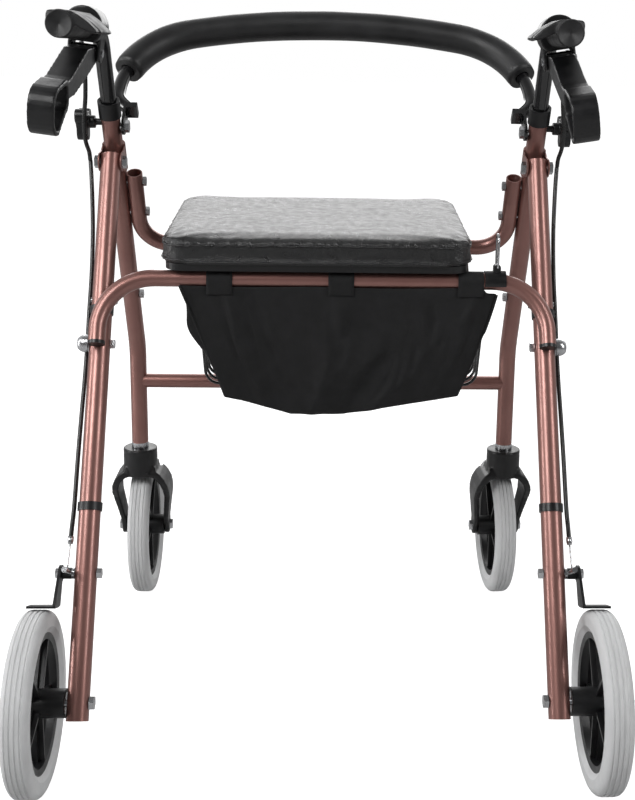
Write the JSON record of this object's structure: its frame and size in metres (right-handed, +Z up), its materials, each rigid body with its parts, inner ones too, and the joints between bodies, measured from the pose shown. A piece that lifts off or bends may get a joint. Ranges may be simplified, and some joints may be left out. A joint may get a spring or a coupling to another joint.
{
  "type": "rollator walker",
  "caption": "Folding rollator walker with padded seat and backrest, height-adjustable handles with loop brakes, under-seat pouch, wire basket and swivelling front casters.",
  "frame": {"origin": "on the floor, at the middle of the footprint", "axes": "+Y towards the casters, the way the user walks; +X to the user's right; +Z up"},
  "size_m": [0.665, 0.6866, 0.8113],
  "materials": {
    "frame_paint": "metallic rose-bronze paint, glossy",
    "zinc": "bright zinc plate",
    "black_enamel": "glossy black coating",
    "black_plastic": "satin moulded plastic",
    "grip_rubber": "soft matte rubber",
    "foam": "closed-cell foam sleeve",
    "vinyl": "grained vinyl with a sheen",
    "nylon": "woven nylon",
    "tyre": "light grey rubber, matte",
    "cable_jacket": "smooth black jacket"
  },
  "bodies": {
    "main_frame": {"main_tube_left": "frame_paint", "main_tube_right": "frame_paint", "front_cross_tube": "frame_paint", "front_seat_bar": "frame_paint", "leg_brackets": "frame_paint", "fold_bolts": "zinc", "tube_collars": "black_plastic", "frame_bolts": "zinc", "stem_bushes": "zinc", "wire_basket": "black_enamel", "upper_cables": "cable_jacket"},
    "rear_frame": {"rear_leg_left": "frame_paint", "rear_leg_right": "frame_paint", "rear_seat_bar": "frame_paint", "bar_end_caps": "black_plastic", "leg_bolts": "zinc", "cable_clips": "black_plastic", "rear_axle_bolts": "zinc", "brake_pivots": "zinc", "brake_springs": "zinc", "bail_clip": "black_plastic", "lower_cables": "cable_jacket"},
    "seat": {"seat_board": "black_plastic", "seat_cushion": "vinyl", "seat_hinges": "black_plastic"},
    "backrest": {"backrest_tube": "black_enamel", "backrest_pad": "foam"},
    "pouch_bag": {"pouch": "nylon", "pouch_straps": "nylon"},
    "bail": {"wire_bail": "zinc"},
    "handle_left": {"handle_tube_left": "black_enamel", "hand_grip_left": "grip_rubber", "brake_housing_left": "black_plastic", "lever_pin_left": "zinc"},
    "lever_left": {"brake_lever_left": "black_plastic"},
    "knob_left": {"height_knob_left": "black_plastic"},
    "brake_left": {"brake_arm_left": "black_plastic"},
    "rear_wheel_left": {"rear_tyre_left": "tyre", "rear_rim_left": "black_plastic", "rear_bearings_left": "zinc"},
    "caster_left": {"caster_fork_left": "black_plastic", "caster_stem_left": "zinc", "caster_axle_left": "zinc"},
    "caster_wheel_left": {"caster_tyre_left": "tyre", "caster_rim_left": "black_plastic"},
    "handle_right": {"handle_tube_right": "black_enamel", "hand_grip_right": "grip_rubber", "brake_housing_right": "black_plastic", "lever_pin_right": "zinc"},
    "lever_right": {"brake_lever_right": "black_plastic"},
    "knob_right": {"height_knob_right": "black_plastic"},
    "brake_right": {"brake_arm_right": "black_plastic"},
    "rear_wheel_right": {"rear_tyre_right": "tyre", "rear_rim_right": "black_plastic", "rear_bearings_right": "zinc"},
    "caster_right": {"caster_fork_right": "black_plastic", "caster_stem_right": "zinc", "caster_axle_right": "zinc"},
    "caster_wheel_right": {"caster_tyre_right": "tyre", "caster_rim_right": "black_plastic"}
  },
  "joints": [
    {"name": "fold", "type": "hinge", "parent": "main_frame", "child": "rear_frame", "pos_m": [0, 0.041, 0.63], "axis": [1, 0, 0], "range_deg": [0, 25]},
    {"name": "seat_flip", "type": "hinge", "parent": "main_frame", "child": "seat", "pos_m": [0, 0.12905, 0.52], "axis": [-1, 0, 0], "range_deg": [0, 57]},
    {"name": "backrest_tilt", "type": "hinge", "parent": "main_frame", "child": "backrest", "pos_m": [0, 0.05211, 0.671], "axis": [1, 0, 0], "range_deg": [-60, 0]},
    {"name": "pouch_hang", "type": "hinge", "parent": "rear_frame", "child": "pouch_bag", "pos_m": [0, -0.04926, 0.5085], "axis": [1, 0, 0], "range_deg": [-25, 0]},
    {"name": "bail_swing", "type": "hinge", "parent": "rear_frame", "child": "bail", "pos_m": [0.196, -0.04926, 0.525], "axis": [0, 1, 0], "range_deg": [-40, 80]},
    {"name": "height_left", "type": "slide", "parent": "main_frame", "child": "handle_left", "axis": [0, -0.454, 0.891], "range_m": [0, 0.15]},
    {"name": "squeeze_left", "type": "hinge", "parent": "handle_left", "child": "lever_left", "pos_m": [-0.25824, -0.05871, 0.75623], "axis": [-0.9916, 0.0572, 0.1163], "range_deg": [0, 12], "stiffness_Nm_per_rad": 0.6, "springref_deg": -11.46},
    {"name": "knob_turn_left", "type": "hinge", "parent": "main_frame", "child": "knob_left", "pos_m": [-0.272, 0.04956, 0.676], "axis": [-1, 0, 0], "range_deg": [-180, 0]},
    {"name": "brake_shoe_left", "type": "hinge", "parent": "rear_frame", "child": "brake_left", "pos_m": [-0.297, -0.18562, 0.21193], "axis": [1, 0, 0], "range_deg": [0, 3.6], "stiffness_Nm_per_rad": 0.5},
    {"name": "rear_roll_left", "type": "hinge", "parent": "rear_frame", "child": "rear_wheel_left", "pos_m": [-0.297, -0.249, 0.095], "axis": [1, 0, 0], "continuous": true},
    {"name": "swivel_left", "type": "hinge", "parent": "main_frame", "child": "caster_left", "pos_m": [-0.252, 0.20752, 0.2], "axis": [0, 0, 1], "continuous": true},
    {"name": "caster_roll_left", "type": "hinge", "parent": "caster_left", "child": "caster_wheel_left", "pos_m": [-0.252, 0.24752, 0.095], "axis": [1, 0, 0], "continuous": true},
    {"name": "height_right", "type": "slide", "parent": "main_frame", "child": "handle_right", "axis": [0, -0.454, 0.891], "range_m": [0, 0.15]},
    {"name": "squeeze_right", "type": "hinge", "parent": "handle_right", "child": "lever_right", "pos_m": [0.25347, -0.05914, 0.7564], "axis": [-0.9851, 0.0535, -0.1635], "range_deg": [0, 12], "stiffness_Nm_per_rad": 0.6, "springref_deg": -11.46},
    {"name": "knob_turn_right", "type": "hinge", "parent": "main_frame", "child": "knob_right", "pos_m": [0.272, 0.04956, 0.676], "axis": [1, 0, 0], "range_deg": [-180, 0]},
    {"name": "brake_shoe_right", "type": "hinge", "parent": "rear_frame", "child": "brake_right", "pos_m": [0.297, -0.18562, 0.21193], "axis": [1, 0, 0], "range_deg": [0, 3.6], "stiffness_Nm_per_rad": 0.5},
    {"name": "rear_roll_right", "type": "hinge", "parent": "rear_frame", "child": "rear_wheel_right", "pos_m": [0.297, -0.249, 0.095], "axis": [1, 0, 0], "continuous": true},
    {"name": "swivel_right", "type": "hinge", "parent": "main_frame", "child": "caster_right", "pos_m": [0.252, 0.20752, 0.2], "axis": [0, 0, 1], "continuous": true},
    {"name": "caster_roll_right", "type": "hinge", "parent": "caster_right", "child": "caster_wheel_right", "pos_m": [0.24991, 0.24746, 0.095], "axis": [0.9986, 0.0523, 0], "continuous": true}
  ],
  "couplings": [
    {"joint": "pouch_hang", "follows": "fold", "ratio": -1},
    {"joint": "brake_shoe_left", "follows": "squeeze_left", "ratio": 0.3},
    {"joint": "brake_shoe_right", "follows": "squeeze_right", "ratio": 0.3}
  ]
}
